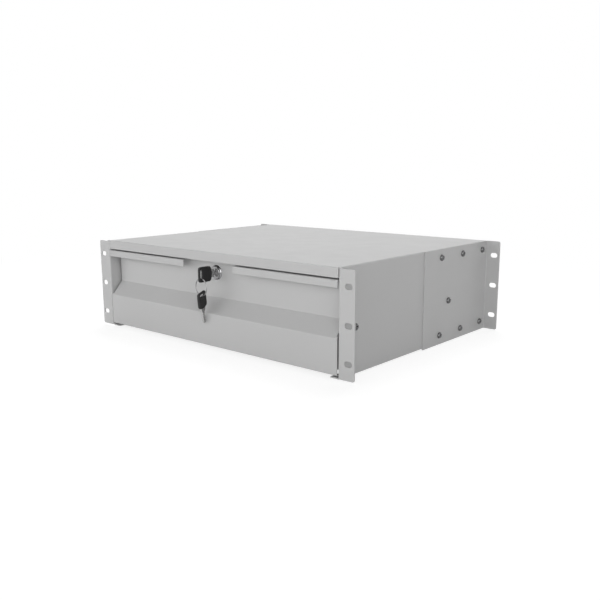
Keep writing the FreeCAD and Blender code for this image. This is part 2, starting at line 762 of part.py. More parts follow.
def ring_point():
    """Where the spare key hangs: on the wire's middle, a little to the left of its lowest point."""
    along = ring_radius * math.sin(math.radians(spare_place_on_ring))
    yaw = math.radians(ring_yaw)
    drop = ring_radius * math.cos(math.radians(spare_place_on_ring))
    return vec(along * math.cos(yaw), ring_y + along * math.sin(yaw), ring_z - drop)


def key_ring():
    yaw = math.radians(ring_yaw)
    across = vec(-math.sin(yaw), math.cos(yaw), 0)
    return Part.makeTorus(ring_radius, ring_wire_radius, vec(0, ring_y, ring_z), across)


def save(name, shape):
    solid = Part.makeCompound(shape) if isinstance(shape, list) else shape
    solid.exportStep("parts/" + name + ".step")
    print(name, len(solid.Solids), round(solid.Volume / 1000.0, 2), "cm3")


def main():
    os.makedirs("parts", exist_ok=True)
    single = {"case_shell": case_shell(), "lock_strike": lock_strike(), "drawer_front": drawer_front(),
              "drawer_tray": drawer_tray(), "front_studs": front_studs(), "front_nuts": front_nuts(),
              "lock_barrel": lock_barrel(), "lock_nut": lock_nut(), "lock_plug": lock_plug(),
              "lock_cam": lock_cam(), "cam_screw": cam_screw(), "key_ring": key_ring()}
    single.update(placed_keys())
    paired = {"rear_bracket": rear_bracket(), "bracket_screws": bracket_screws(),
              "bracket_nuts": bracket_nuts(), "rail_case_screws": rail_case_screws(),
              "slide_outer": slide_outer(), "slide_middle": slide_middle(), "slide_inner": slide_inner(),
              "outer_cage": outer_cage(), "inner_cage": inner_cage(),
              "outer_balls": balls(outer_ball_u, outer_ball_w),
              "inner_balls": balls(inner_ball_u, inner_ball_w), "rail_tray_screws": tray_screws()}
    for name, shape in single.items():
        save(name, shape)
    for name, shape in paired.items():
        other = [mirrored(s) for s in shape] if isinstance(shape, list) else mirrored(shape)
        save(name + "_right", shape)
        save(name + "_left", other)


main()
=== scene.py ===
# %% [markdown]
# # A lockable rack drawer
# The real object is a folded sheet-steel case that bolts into a 19 inch rack, with a drawer
# that rolls out of it on ball slides, a cam lock in its finger recess and two keys on a ring.
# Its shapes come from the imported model, which is loaded here as a fixed frame.  This lesson
# gives every piece the finish of the real one, adds the pieces whose form suits a surface
# formula better than a solid, and sets up the light and the camera of the photograph.

import json
import math

import bpy
import numpy as np
from mathutils import Matrix, Vector


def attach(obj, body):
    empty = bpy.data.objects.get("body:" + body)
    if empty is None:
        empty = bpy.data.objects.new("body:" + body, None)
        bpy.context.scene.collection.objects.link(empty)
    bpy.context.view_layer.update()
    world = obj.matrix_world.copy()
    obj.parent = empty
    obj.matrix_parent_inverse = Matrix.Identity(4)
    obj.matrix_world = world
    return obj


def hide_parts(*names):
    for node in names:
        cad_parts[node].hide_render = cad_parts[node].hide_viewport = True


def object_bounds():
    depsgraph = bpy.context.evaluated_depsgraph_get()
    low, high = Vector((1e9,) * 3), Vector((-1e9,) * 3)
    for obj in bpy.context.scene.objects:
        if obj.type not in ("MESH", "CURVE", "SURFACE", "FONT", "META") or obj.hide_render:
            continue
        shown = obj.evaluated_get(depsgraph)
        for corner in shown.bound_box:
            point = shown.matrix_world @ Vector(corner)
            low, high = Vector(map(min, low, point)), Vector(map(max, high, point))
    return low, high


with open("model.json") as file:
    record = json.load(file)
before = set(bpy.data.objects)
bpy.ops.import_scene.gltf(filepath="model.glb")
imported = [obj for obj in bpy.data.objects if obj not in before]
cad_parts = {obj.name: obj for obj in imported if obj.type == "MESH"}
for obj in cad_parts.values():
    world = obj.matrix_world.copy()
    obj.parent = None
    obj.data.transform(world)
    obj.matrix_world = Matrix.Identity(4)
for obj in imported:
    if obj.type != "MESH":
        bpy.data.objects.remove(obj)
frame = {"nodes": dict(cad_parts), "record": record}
cad_low, cad_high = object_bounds()
slot_of = {row["node"]: row["material_slot"] for row in frame["record"]["subparts"]}
print("nodes", len(frame["nodes"]), "slots", sorted(set(slot_of.values())))

# %% [markdown]
# Every finish starts the same way: a new material whose Principled shader is already there.
# Three short helpers save repeating it.  One makes the material, one adds a node, and one
# joins two sockets.  A fourth only prints what a cell has made ready.

# %% Helpers for materials
def new_material(name, **constants):
    """A material whose Principled shader has these sockets set, by name, to fixed values."""
    material = bpy.data.materials.new(name)
    material.use_nodes = True
    shader = material.node_tree.nodes["Principled BSDF"]
    for socket, value in constants.items():
        shader.inputs[socket.replace("_", " ")].default_value = value
    return material, material.node_tree, shader


def add_node(tree, kind, **settings):
    """A node of this kind, with its own settings and, after them, its sockets set by name."""
    node = tree.nodes.new(kind)
    sockets = settings.pop("sockets", {})
    for setting, value in settings.items():
        setattr(node, setting, value)
    for socket, value in sockets.items():
        node.inputs[socket].default_value = value
    return node


def join(tree, source, target):
    """A link from an output socket to an input socket."""
    tree.links.new(source, target)


def tell(*functions):
    """Prints which recipes a cell has made ready."""
    print("ready:", ", ".join(function.__name__ for function in functions))


tell(new_material, add_node, join)

# %% [markdown]
# Some effects come back in several finishes: a fine grain in the surface, a slow drift of its
# shade, wear along the edges, which on the screws is also a painted highlight, and drawn lines
# on rolled steel.  Each is made once, as a node group with named inputs and outputs, and a
# finish sets the group's values for itself.  A group only puts out numbers: the shader stays in
# the material.  The same nodes could be copied into each material, but then a change to the
# wear would have to be made eight times.

# %% A new node group with named sockets
def new_group(name, inputs, outputs):
    """A shader node group.  Inputs are (name, kind, start value) and outputs (name, kind)."""
    group = bpy.data.node_groups.new(name, "ShaderNodeTree")
    for label, kind, start in inputs:
        socket = group.interface.new_socket(name=label, in_out="INPUT", socket_type=kind)
        socket.default_value = start
    for label, kind in outputs:
        group.interface.new_socket(name=label, in_out="OUTPUT", socket_type=kind)
    return group, group.nodes.new("NodeGroupInput"), group.nodes.new("NodeGroupOutput")


def noise_in(group, start, scale, detail, vector=None):
    """A noise texture inside a group.  The group input called scale sets its scale, and it
    reads the group's Vector unless another is given."""
    noise = add_node(group, "ShaderNodeTexNoise", sockets={"Detail": detail})
    join(group, vector or start.outputs["Vector"], noise.inputs["Vector"])
    join(group, start.outputs[scale], noise.inputs["Scale"])
    return noise


tell(new_group, noise_in)

# %% Fine grain: orange peel and moulding texture
def make_grain_group():
    """Height = broad noise x Broad + fine noise x (1 - Broad), each about a middle of 0.5."""
    group, start, end = new_group(
        "fine_grain",
        [("Vector", "NodeSocketVector", (0, 0, 0)), ("Scale", "NodeSocketFloat", 900.0),
         ("Fine Scale", "NodeSocketFloat", 3200.0), ("Broad", "NodeSocketFloat", 0.7)],
        [("Height", "NodeSocketFloat")])
    broad = noise_in(group, start, "Scale", 1.0)
    fine = noise_in(group, start, "Fine Scale", 2.0)
    blend = add_node(group, "ShaderNodeMix", data_type="FLOAT")
    join(group, start.outputs["Broad"], blend.inputs["Factor"])
    join(group, fine.outputs["Fac"], blend.inputs["A"])
    join(group, broad.outputs["Fac"], blend.inputs["B"])
    join(group, blend.outputs["Result"], end.inputs["Height"])
    return group


GRAIN = make_grain_group()
print("node group", GRAIN.name)

# %% Slow drift of shade and gloss
def make_drift_group():
    """Value = Low + (High - Low) x slow noise, stretched so that it uses the whole range."""
    group, start, end = new_group(
        "slow_drift",
        [("Vector", "NodeSocketVector", (0, 0, 0)), ("Scale", "NodeSocketFloat", 8.0),
         ("Low", "NodeSocketFloat", 0.0), ("High", "NodeSocketFloat", 1.0)],
        [("Value", "NodeSocketFloat")])
    noise = noise_in(group, start, "Scale", 3.0)
    spread = add_node(group, "ShaderNodeMapRange", sockets={"From Min": 0.3, "From Max": 0.7})
    join(group, noise.outputs["Fac"], spread.inputs["Value"])
    join(group, start.outputs["Low"], spread.inputs["To Min"])
    join(group, start.outputs["High"], spread.inputs["To Max"])
    join(group, spread.outputs["Result"], end.inputs["Value"])
    return group


DRIFT = make_drift_group()
print("node group", DRIFT.name)

# %% Wear along the edges, and a painted highlight on the screws
def make_edge_group():
    """Mask shows the sharp edges.  The Bevel node rounds the normal within Radius, so where the
    rounded normal leaves the true one there is an edge.  The mask grows as their dot product
    falls from 0.995 to 0.85, and is then broken up by noise and multiplied by Amount."""
    group, start, end = new_group(
        "edge_wear_and_highlight",
        [("Vector", "NodeSocketVector", (0, 0, 0)), ("Radius", "NodeSocketFloat", 0.0006),
         ("Amount", "NodeSocketFloat", 0.5), ("Breakup", "NodeSocketFloat", 300.0)],
        [("Mask", "NodeSocketFloat"), ("Normal", "NodeSocketVector")])
    bevel = add_node(group, "ShaderNodeBevel", samples=6)
    join(group, start.outputs["Radius"], bevel.inputs["Radius"])
    true = add_node(group, "ShaderNodeNewGeometry")
    agree = add_node(group, "ShaderNodeVectorMath", operation="DOT_PRODUCT")
    join(group, bevel.outputs["Normal"], agree.inputs[0])
    join(group, true.outputs["Normal"], agree.inputs[1])
    edge = add_node(group, "ShaderNodeMapRange", sockets={"From Min": 0.995, "From Max": 0.85})
    join(group, agree.outputs["Value"], edge.inputs["Value"])
    patchy = noise_in(group, start, "Breakup", 2.0)
    chips = add_node(group, "ShaderNodeMath", operation="MULTIPLY")
    join(group, edge.outputs["Result"], chips.inputs[0])
    join(group, patchy.outputs["Fac"], chips.inputs[1])
    scaled = add_node(group, "ShaderNodeMath", operation="MULTIPLY", use_clamp=True)
    join(group, chips.outputs["Value"], scaled.inputs[0])
    join(group, start.outputs["Amount"], scaled.inputs[1])
    join(group, scaled.outputs["Value"], end.inputs["Mask"])
    join(group, bevel.outputs["Normal"], end.inputs["Normal"])
    return group


EDGES = make_edge_group()
print("node group", EDGES.name)

# %% Drawn lines on rolled steel
def make_lines_group():
    """Lines along Y: noise read at Vector x Squash, so that it hardly changes along Y."""
    group, start, end = new_group(
        "drawn_lines",
        [("Vector", "NodeSocketVector", (0, 0, 0)), ("Scale", "NodeSocketFloat", 2500.0),
         ("Squash", "NodeSocketVector", (1.0, 0.01, 1.0))],
        [("Height", "NodeSocketFloat")])
    squash = add_node(group, "ShaderNodeVectorMath", operation="MULTIPLY")
    join(group, start.outputs["Vector"], squash.inputs[0])
    join(group, start.outputs["Squash"], squash.inputs[1])
    lines = noise_in(group, start, "Scale", 2.0, squash.outputs["Vector"])
    join(group, lines.outputs["Fac"], end.inputs["Height"])
    return group


LINES = make_lines_group()
print("node group", LINES.name)

# %% Placing a group in a material
def place_group(tree, group, vector, **values):
    """The group as a node, reading this vector, with its inputs set by name."""
    node = add_node(tree, "ShaderNodeGroup", node_tree=group)
    join(tree, vector, node.inputs["Vector"])
    for label, value in values.items():
        node.inputs[label.replace("_", " ")].default_value = value
    return node


def object_vector(tree):
    """The object's own coordinates, in which a texture stays on its piece in every pose."""
    return add_node(tree, "ShaderNodeTexCoord").outputs["Object"]


def tint_between(tree, factor, low, high):
    """A colour that goes from low to high with the factor."""
    mix = add_node(tree, "ShaderNodeMix", data_type="RGBA")
    mix.inputs["A"].default_value = (*low, 1.0)
    mix.inputs["B"].default_value = (*high, 1.0)
    join(tree, factor, mix.inputs["Factor"])
    return mix.outputs["Result"]


def bump_from(tree, shader, height, strength, distance, normal):
    """The shader's normal: this one, tilted by the slope of a height of this distance."""
    bump = add_node(tree, "ShaderNodeBump", sockets={"Strength": strength, "Distance": distance})
    join(tree, height, bump.inputs["Height"])
    join(tree, normal, bump.inputs["Normal"])
    join(tree, bump.outputs["Normal"], shader.inputs["Normal"])


tell(place_group, object_vector, tint_between, bump_from)

# %% [markdown]
# ## Powder coat
# The case, the brackets and the drawer are painted with a light grey powder that melts into
# one skin.  It has a satin gloss and a shallow orange peel a millimetre or so across, its
# shade drifts a little over a large sheet, and it rounds every sheared edge, where it also
# lies thinner and looks lighter.  A picture of real paint would suit one distance only, so
# two scales of noise make the peel.  Object coordinates carry it, so that it stays on the
# sheet as the drawer opens.

# %% Powder coat
def powder_coat(name, shade):
    """Satin paint: its shade drifts by 1.5 per cent and is a quarter lighter on worn edges."""
    material, tree, shader = new_material(name, IOR=1.5)
    vector = object_vector(tree)
    drift = place_group(tree, DRIFT, vector, Scale=6.0)
    low = tuple(0.985 * c for c in shade)
    high = tuple(1.015 * c for c in shade)
    paint = tint_between(tree, drift.outputs["Value"], low, high)
    edges = place_group(tree, EDGES, vector, Radius=0.0007, Amount=0.35, Breakup=180.0)
    thin = add_node(tree, "ShaderNodeMix", data_type="RGBA")
    join(tree, edges.outputs["Mask"], thin.inputs["Factor"])
    join(tree, paint, thin.inputs["A"])
    thin.inputs["B"].default_value = (*(1.25 * c for c in shade), 1.0)
    join(tree, thin.outputs["Result"], shader.inputs["Base Color"])
    gloss = place_group(tree, DRIFT, vector, Scale=35.0, Low=0.38, High=0.46)
    join(tree, gloss.outputs["Value"], shader.inputs["Roughness"])
    peel = place_group(tree, GRAIN, vector, Scale=700.0, Fine_Scale=2600.0, Broad=0.75)
    bump_from(tree, shader, peel.outputs["Height"], 0.12, 0.0002, edges.outputs["Normal"])
    return material


tell(powder_coat)

# %% [markdown]
# ## Plated and bare metals
# The screws are black nickel, the slides bright zinc on drawn strip, the balls polished, and
# the lock and keys are plated die-casting and brass.  All are one recipe with other numbers:
# a metal whose roughness drifts, with drawn lines or fine grain in its normal and bright
# wear on its edges.  On the black nickel screws the bright edges are also a painted highlight.
# The lines are noise squeezed along one axis, which needs no unwrapping and has no seam on
# the folded rails.

# %% Metals
def metal(name, shade, roughness, lines=0.0, grain=0.0, wear_and_highlight=0.4, wear_and_highlight_shade=(0.8, 0.8, 0.79)):
    """Plated metal.  Shade drifts by 7 and roughness by 10 per cent.  lines and grain are bump
    strengths, of which one at most is used, and wear_and_highlight is how much of
    wear_and_highlight_shade the edges show: wear, and on the screws also a painted highlight."""
    material, tree, shader = new_material(name, Metallic=1.0)
    vector = object_vector(tree)
    edges = place_group(tree, EDGES, vector, Radius=0.00025, Amount=wear_and_highlight, Breakup=500.0)
    # Lighter edges: wear, and on the black nickel screws also a painted highlight.
    bright = add_node(tree, "ShaderNodeMix", data_type="RGBA")
    join(tree, edges.outputs["Mask"], bright.inputs["Factor"])
    drift = place_group(tree, DRIFT, vector, Scale=60.0)
    tone = tint_between(tree, drift.outputs["Value"], tuple(0.93 * c for c in shade), shade)
    join(tree, tone, bright.inputs["A"])
    bright.inputs["B"].default_value = (*wear_and_highlight_shade, 1.0)
    join(tree, bright.outputs["Result"], shader.inputs["Base Color"])
    gloss = place_group(tree, DRIFT, vector, Scale=40.0,
                        Low=0.9 * roughness, High=1.1 * roughness)
    join(tree, gloss.outputs["Value"], shader.inputs["Roughness"])
    if lines:
        drawn = place_group(tree, LINES, vector, Scale=2500.0)
        bump_from(tree, shader, drawn.outputs["Height"], lines, 0.0001, edges.outputs["Normal"])
    elif grain:
        cast = place_group(tree, GRAIN, vector, Scale=1500.0, Fine_Scale=5000.0, Broad=0.5)
        bump_from(tree, shader, cast.outputs["Height"], grain, 0.0001, edges.outputs["Normal"])
    else:
        join(tree, edges.outputs["Normal"], shader.inputs["Normal"])
    return material


tell(metal)

# %% [markdown]
# ## Moulded plastic
# The key heads are matt black plastic, moulded over the blades in a spark-eroded tool, which
# leaves an even fine grain.  Handling has polished the rounded edges, so the edge mask lowers
# the roughness there.

# %% Key head plastic
def moulded_plastic(name, shade):
    """Matt plastic.  Rubbed edges are 2.2 times as light, with roughness 0.3 and not 0.5."""
    material, tree, shader = new_material(name, IOR=1.46)
    vector = object_vector(tree)
    edges = place_group(tree, EDGES, vector, Radius=0.0005, Amount=1.2, Breakup=400.0)
    tone = tint_between(tree, edges.outputs["Mask"], shade, tuple(2.2 * c for c in shade))
    join(tree, tone, shader.inputs["Base Color"])
    polish = add_node(tree, "ShaderNodeMapRange", sockets={"To Min": 0.5, "To Max": 0.3})
    join(tree, edges.outputs["Mask"], polish.inputs["Value"])
    join(tree, polish.outputs["Result"], shader.inputs["Roughness"])
    grain = place_group(tree, GRAIN, vector, Scale=3000.0, Fine_Scale=7000.0, Broad=0.4)
    bump_from(tree, shader, grain.outputs["Height"], 0.25, 0.0001, edges.outputs["Normal"])
    return material


tell(moulded_plastic)

# %% One material for each slot of the record
finishes = {
    "powder_coat": powder_coat("satin_grey_powder_coat", (0.48, 0.48, 0.48)),
    # The screws' lighter head and recess edges are partly wear and partly a painted highlight.
    "black_nickel": metal("black_nickel", (0.12, 0.12, 0.122), 0.16, wear_and_highlight=0.4,
                          wear_and_highlight_shade=(0.75, 0.75, 0.75)),
    "zinc_steel": metal("bright_zinc", (0.45, 0.455, 0.465), 0.36, lines=0.1),
    "ball_steel": metal("bearing_steel", (0.68, 0.68, 0.69), 0.08, wear_and_highlight=0.0),
    "chrome": metal("dull_chrome", (0.29, 0.29, 0.295), 0.2, grain=0.08, wear_and_highlight=0.5),
    "nickel": metal("worn_nickel", (0.46, 0.46, 0.455), 0.28, grain=0.1),
    "spring_steel": metal("dark_spring_steel", (0.30, 0.30, 0.303), 0.3, wear_and_highlight=0.3,
                          wear_and_highlight_shade=(0.5, 0.5, 0.5)),
    "black_plastic": moulded_plastic("black_key_plastic", (0.006, 0.006, 0.0064)),
}
for node, piece in frame["nodes"].items():
    piece.material_slots[0].material = finishes[slot_of[node]]
print("finishes", {slot: material.name for slot, material in finishes.items()})

# %% [markdown]
# ## Pieces made from formulas
# The small pieces are where a hand recognises the real thing: pan screws with a tapered cross
# recess, key heads with finger ribs, milled and cut blades, and a ring of two flat coils.  They
# could be solids with many tiny fillets, or sculpted by hand.  A surface formula over a numpy
# grid is lighter than the first and more exact than the second, so each stands just where its
# plain solid stood.  A grid has rows and columns of points, and `skin` joins neighbours with
# four-sided faces.

# %% A skin over grids of points
def grid_faces(points, wrap_rows, first):
    """Faces between neighbours (i, j), (i+1, j), (i+1, j+1), (i, j+1), turned to look outwards:
    the sum of (face middle - grid middle) . normal must be positive.  The last column joins
    the first, and so does the last row where wrap_rows says so."""
    rows, columns = points.shape[:2]
    i = np.arange(rows if wrap_rows else rows - 1)[:, None]
    j = np.arange(columns)[None, :]
    below, right = (i + 1) % rows, (j + 1) % columns
    corners = np.broadcast_arrays(i * columns + j, below * columns + j, below * columns + right,
                                  i * columns + right)
    faces = np.stack(corners, -1).reshape(-1, 4)
    flat = points.reshape(-1, 3)
    a, b, c, d = (flat[faces[:, k]] for k in range(4))
    outward = ((a + b + c + d) / 4.0 - flat.mean(0)) * np.cross(c - a, d - b)
    if outward.sum() < 0.0:
        faces = faces[:, ::-1]
    return faces + first


def skin(name, body, slot, grids, node, wrap_rows=False):
    """One object over several grids of points in metres, each closed in its column direction.
    It rides on a body, has the finish of a slot, and takes the place of a node."""
    starts = np.cumsum([0] + [grid.shape[0] * grid.shape[1] for grid in grids])
    faces = np.concatenate([grid_faces(grid, wrap_rows, first)
                            for grid, first in zip(grids, starts)])
    points = np.concatenate([grid.reshape(-1, 3) for grid in grids])
    mesh = bpy.data.meshes.new(name)
    mesh.from_pydata(points.tolist(), [], faces.tolist())
    mesh.polygons.foreach_set("use_smooth", np.ones(len(faces), dtype=bool))
    mesh.materials.append(finishes[slot])
    piece = bpy.data.objects.new(name, mesh)
    bpy.context.scene.collection.objects.link(piece)
    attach(piece, body)
    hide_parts(node)
    print(name, "faces", len(faces), "for", node)


def rotation(axis, degrees):
    """A 3 by 3 turn about x or z."""
    c, s = math.cos(math.radians(degrees)), math.sin(math.radians(degrees))
    if axis == "x":
        return np.array([[1, 0, 0], [0, c, -s], [0, s, c]])
    return np.array([[c, -s, 0], [s, c, 0], [0, 0, 1]])


tell(grid_faces, skin, rotation)

# %% [markdown]
# ### Screws
# A pan head is flat in the middle and rounds down to its seat: z = H sqrt(1 - (r / R)^4).  The
# cross recess is cut by the distance into its four wings.  It deepens towards the middle, as
# the driver's cone does.  A dark cross painted on a plain head would look flat from the side,
# so the recess has real depth.  No two screws of a real drawer stop at the same angle, so each
# has its own turn.

# %% Pan head with a cross recess
head_radius, head_height = 0.0044, 0.003
wing_reach, wing_half, wing_depth = 0.0027, 0.00075, 0.0016
pit_radius, pit_taper, pit_depth = 0.0016, 0.0006, 0.0023
shank_radius, tip_radius, tip_length = 0.0020, 0.0016, 0.0004


def pan_screw(length, turn):
    """Rows run from the crown's middle over the rim and down the shank, columns round it."""
    around = np.linspace(0.0, 2.0 * np.pi, 72, endpoint=False)[None, :]
    r = head_radius * np.sin(np.linspace(0.0, np.pi / 2.0, 34))[:, None]
    crown = head_height * np.sqrt(np.maximum(0.0, 1.0 - (r / head_radius) ** 4)) + 0.0 * around
    x, y = np.abs(r * np.cos(around)), np.abs(r * np.sin(around))
    into_tip = np.clip((wing_reach - np.maximum(x, y)) / (0.6 * wing_reach), 0.0, 1.0)
    into_side = np.clip((wing_half - np.minimum(x, y)) / (0.35 * wing_half), 0.0, 1.0)
    into_pit = np.clip((pit_radius - r) / pit_taper, 0.0, 1.0)
    crown -= np.maximum(wing_depth * into_tip * into_side, pit_depth * into_pit)
    shank_r = np.array([shank_radius, shank_radius, tip_radius, 0.0])[:, None]
    shank_z = np.array([0.0, tip_length - length, -length, -length])[:, None]
    r = np.concatenate([r, shank_r])
    z = np.concatenate([crown, shank_z + 0.0 * around])
    return np.stack([r * np.cos(around + turn), r * np.sin(around + turn), z], -1)


def screws_along_x(places, lengths, side):
    """Screws seated at (x, y, z) whose heads point to side +1 or -1 of X."""
    turns = np.random.default_rng(len(places) + side + 3).uniform(0.0, np.pi / 2.0, len(places))
    grids = []
    for (x, y, z), turn, length in zip(places, turns, lengths):
        local = pan_screw(length, turn)
        out, across, up = (local[..., k] for k in (2, 0, 1))
        grids.append(np.stack([x + side * out, y + across, z + up], -1))
    return grids


tell(pan_screw, screws_along_x)

# %% Screws of the brackets, the case and the tray
bracket_face, side_face, tray_face = 0.221, 0.2195, 0.2041
rail_height = -0.008
through_nut, into_rail, through_bracket, into_tray = 0.0065, 0.0027, 0.0042, 0.0024
bracket_rows = [(y, z) for z in (0.0535, -0.0535) for y in (0.220, 0.278, 0.336)]
for side, label in ((1, "right"), (-1, "left")):
    places = [(side * bracket_face, y, z) for y, z in bracket_rows]
    skin("bracket_pan_screws_" + label, "case", "black_nickel",
         screws_along_x(places, [through_nut] * 6, side), "bracket_screws_" + label)
    places = [(side * side_face, 0.0295, rail_height),
              (side * bracket_face, 0.2415, rail_height)]
    skin("rail_pan_screws_" + label, "case", "black_nickel",
         screws_along_x(places, [into_rail, through_bracket], side),
         "rail_case_screws_" + label)
    places = [(side * tray_face, y, rail_height) for y in (0.046, 0.166, 0.286)]
    skin("tray_pan_screws_" + label, "drawer", "zinc_steel",
         screws_along_x(places, [into_tray] * 3, -side), "rail_tray_screws_" + label)

# %% [markdown]
# ### Keys
# A key's own frame is in millimetres, with Y along it from the head's outer end, Z across and
# X through.  One key sits in the lock.  The spare hangs on the ring, leans towards the drawer
# and is turned a little.
#
# The head is a closed skin round its slot.  For each direction t, a rounded square
# rho(t) = (|cos t|^n + |sin t|^n)^(-1/n) gives a point on the slot's edge and one on the head's
# outline.  The face runs between them, and its height falls off in a quarter ellipse at both
# edges.  Three ribs beside the slot give the fingers hold.  A box with a hole cut by a modifier
# would be quicker, but its faces round the slot would be long slivers that shade badly.

# %% Key head
def rounded_square(t, n):
    """rho(t) = (|cos t|^n + |sin t|^n)^(-1/n): 2 is a circle, large n a square."""
    return (np.abs(np.cos(t)) ** n + np.abs(np.sin(t)) ** n) ** (-1.0 / n)


slot_middle, slot_half_long, slot_half_wide = 4.4, 6.5, 1.5
slot_rounding, rim_rounding = 0.45, 0.9
rib_start, rib_end, rib_pitch, rib_height = 7.0, 12.7, 1.9, 0.16
panel_start, panel_end, panel_depth = 14.0, 20.0, 0.2
grip_half, rib_fade, panel_fade = 7.6, 0.4, 0.5
head_taper, corner_pull = 0.045, 2.4


def ramp(inside, width):
    """0 outside, 1 further than width inside, and straight between."""
    return np.clip(inside / width, 0.0, 1.0)


def key_head(length=22.8, width=21.0, thickness=3.0):
    """Points in millimetres: rows go round the slot, columns over one face and back on the
    other."""
    t = np.linspace(0.0, 2.0 * np.pi, 160, endpoint=False)[:, None]
    outer_y = 0.5 * length * (1.0 + rounded_square(t, 7) * np.cos(t))
    half_width = 0.5 * width * (1.0 - head_taper * outer_y / length)
    outer_z = half_width * rounded_square(t, 7) * np.sin(t)
    outer_y = outer_y - corner_pull * (outer_y / length) ** 8 * (2.0 * outer_z / width) ** 2
    inner_y = slot_middle + slot_half_wide * rounded_square(t, 4) * np.cos(t)
    inner_z = slot_half_long * rounded_square(t, 4) * np.sin(t)
    share = 0.5 - 0.5 * np.cos(np.linspace(0.0, np.pi, 40))[None, :]
    y = inner_y + share * (outer_y - inner_y)
    z = inner_z + share * (outer_z - inner_z)
    to_slot = np.hypot(y - inner_y, z - inner_z) / slot_rounding
    to_rim = np.hypot(outer_y - y, outer_z - z) / rim_rounding
    near = np.minimum(1.0, np.minimum(to_slot, to_rim))
    x = 0.5 * thickness * np.sqrt(1.0 - (1.0 - near) ** 2)
    beside = grip_half - np.abs(z)
    ribs = np.clip(1.5 * np.sin(2.0 * np.pi * (y - rib_start) / rib_pitch), 0.0, 1.0)
    ribs = ribs * (y > rib_start) * (y < rib_end) * ramp(beside, rib_fade)
    along = ramp(y - panel_start, panel_fade) * ramp(panel_end - y, panel_fade)
    panel = along * ramp(beside, panel_fade)
    x = x + rib_height * ribs - panel_depth * panel
    face = np.stack([x, y, z], -1)
    back = np.stack([-x, y, z], -1)[:, -2:0:-1]
    return np.concatenate([face, back], 1)


tell(rounded_square, ramp, key_head)

# %% Key blade
def closed_ends(points):
    """The grid with a first and a last row added, drawn together in the middle of its ends."""
    first, last = (np.repeat(row.mean(1, keepdims=True), points.shape[1], 1)
                   for row in (points[:1], points[-1:]))
    return np.concatenate([first, points, last])


collar_end, collar_half = 26.4, 5.5
notch_depths, notch_pitch, notch_start = (1.1, 0.5, 1.4, 0.8), 3.2, 0.8
groove_end, groove_fade, groove_depth, groove_half = 42.0, 2.0, 0.5, 0.55
right_groove, left_groove = 0.8, -1.2
tip_half, edge_rounding = 0.5, 0.3


def key_blade(start=20.4, end=43.8, half=3.1, thickness=2.0):
    """Rows go along the blade, columns round it.  Its upper edge is cut by notches, upper(y) =
    half - sum of max(0, depth - |y - place|).  A milled groove runs along each side."""
    y = np.concatenate([np.linspace(start, collar_end, 14),
                        np.linspace(collar_end + 0.01, end, 190)])[:, None]
    tip = np.clip((y - (end - half)) / half, 0.0, 1.0)
    collar = np.where(y <= collar_end, collar_half, half)
    notches = [(end - half - notch_pitch * (k + notch_start), depth)
               for k, depth in enumerate(notch_depths)]
    cuts = sum(np.maximum(0.0, depth - np.abs(y - place)) for place, depth in notches)
    upper = collar - tip * (half - tip_half) - cuts
    lower = -collar + tip * (half - tip_half)
    share = np.linspace(0.0, 1.0, 30)[None, :]
    z = lower + share * (upper - lower)
    edge = np.minimum(1.0, np.minimum(share, 1.0 - share) * (upper - lower) / edge_rounding)
    x = 0.5 * thickness * np.sqrt(1.0 - (1.0 - edge) ** 2) + 0.0 * y
    milled = groove_depth * (y > collar_end) * ramp(groove_end - y, groove_fade)
    right = x - milled * np.exp(-((z - right_groove) / groove_half) ** 4)
    left = x - milled * np.exp(-((z - left_groove) / groove_half) ** 4)
    loop = np.concatenate([np.stack([right, y + 0 * z, z], -1),
                           np.stack([-left, y + 0 * z, z], -1)[:, -2:0:-1]], 1)
    return closed_ends(loop)


tell(closed_ends, key_blade)

# %% Both keys in their places
upwards = np.array([0.0, 0.0, 1.0])
lock_hold = np.array([0.0, -16.8, 36.0])
ring_middle, ring_radius, ring_yaw = np.array([0.0, -12.4, 19.6]), 11.3, -3.0
ring_side = rotation("z", ring_yaw) @ np.array([1.0, 0.0, 0.0])
hang_angle = math.radians(-7.0)
hang_ray = math.sin(hang_angle) * ring_side - math.cos(hang_angle) * upwards
spare_place = ring_middle + ring_radius * hang_ray
spare_twist, spare_lean = 21.0, 9.4
spare_turn = rotation("z", spare_twist) @ rotation("x", -90.0 + spare_lean)
spare_hold = np.array([0.0, 4.3, -1.7])


def in_lock(points):
    """The first key, from its own millimetres to metres in the frame."""
    return (points + lock_hold) / 1000.0


def on_ring(points):
    """The spare key: the ring holds it at spare_hold, about which it is turned."""
    return ((points - spare_hold) @ spare_turn.T + spare_place) / 1000.0


skin("ribbed_key_head", "key", "black_plastic", [in_lock(key_head())], "key_head",
     wrap_rows=True)
skin("ribbed_spare_head", "spare_key", "black_plastic", [on_ring(key_head())], "spare_key_head",
     wrap_rows=True)
skin("cut_key_blade", "key", "nickel", [in_lock(key_blade())], "key_blade")
skin("cut_spare_blade", "spare_key", "nickel", [on_ring(key_blade())], "spare_key_blade")

# %% [markdown]
# ### Split ring
# The ring is one flattened wire wound nearly twice.  Along it, the angle a runs through 1.9
# turns, and the wire shifts sideways by its own thickness in the short gap where only one coil
# is there, so both coils lie flat together.  A curve with a bevel could follow the same path,
# but a grid also gives the wire its flattened section and closes its two ends.

# %% Split ring
coil_offset, step_angle = 0.3, 0.56


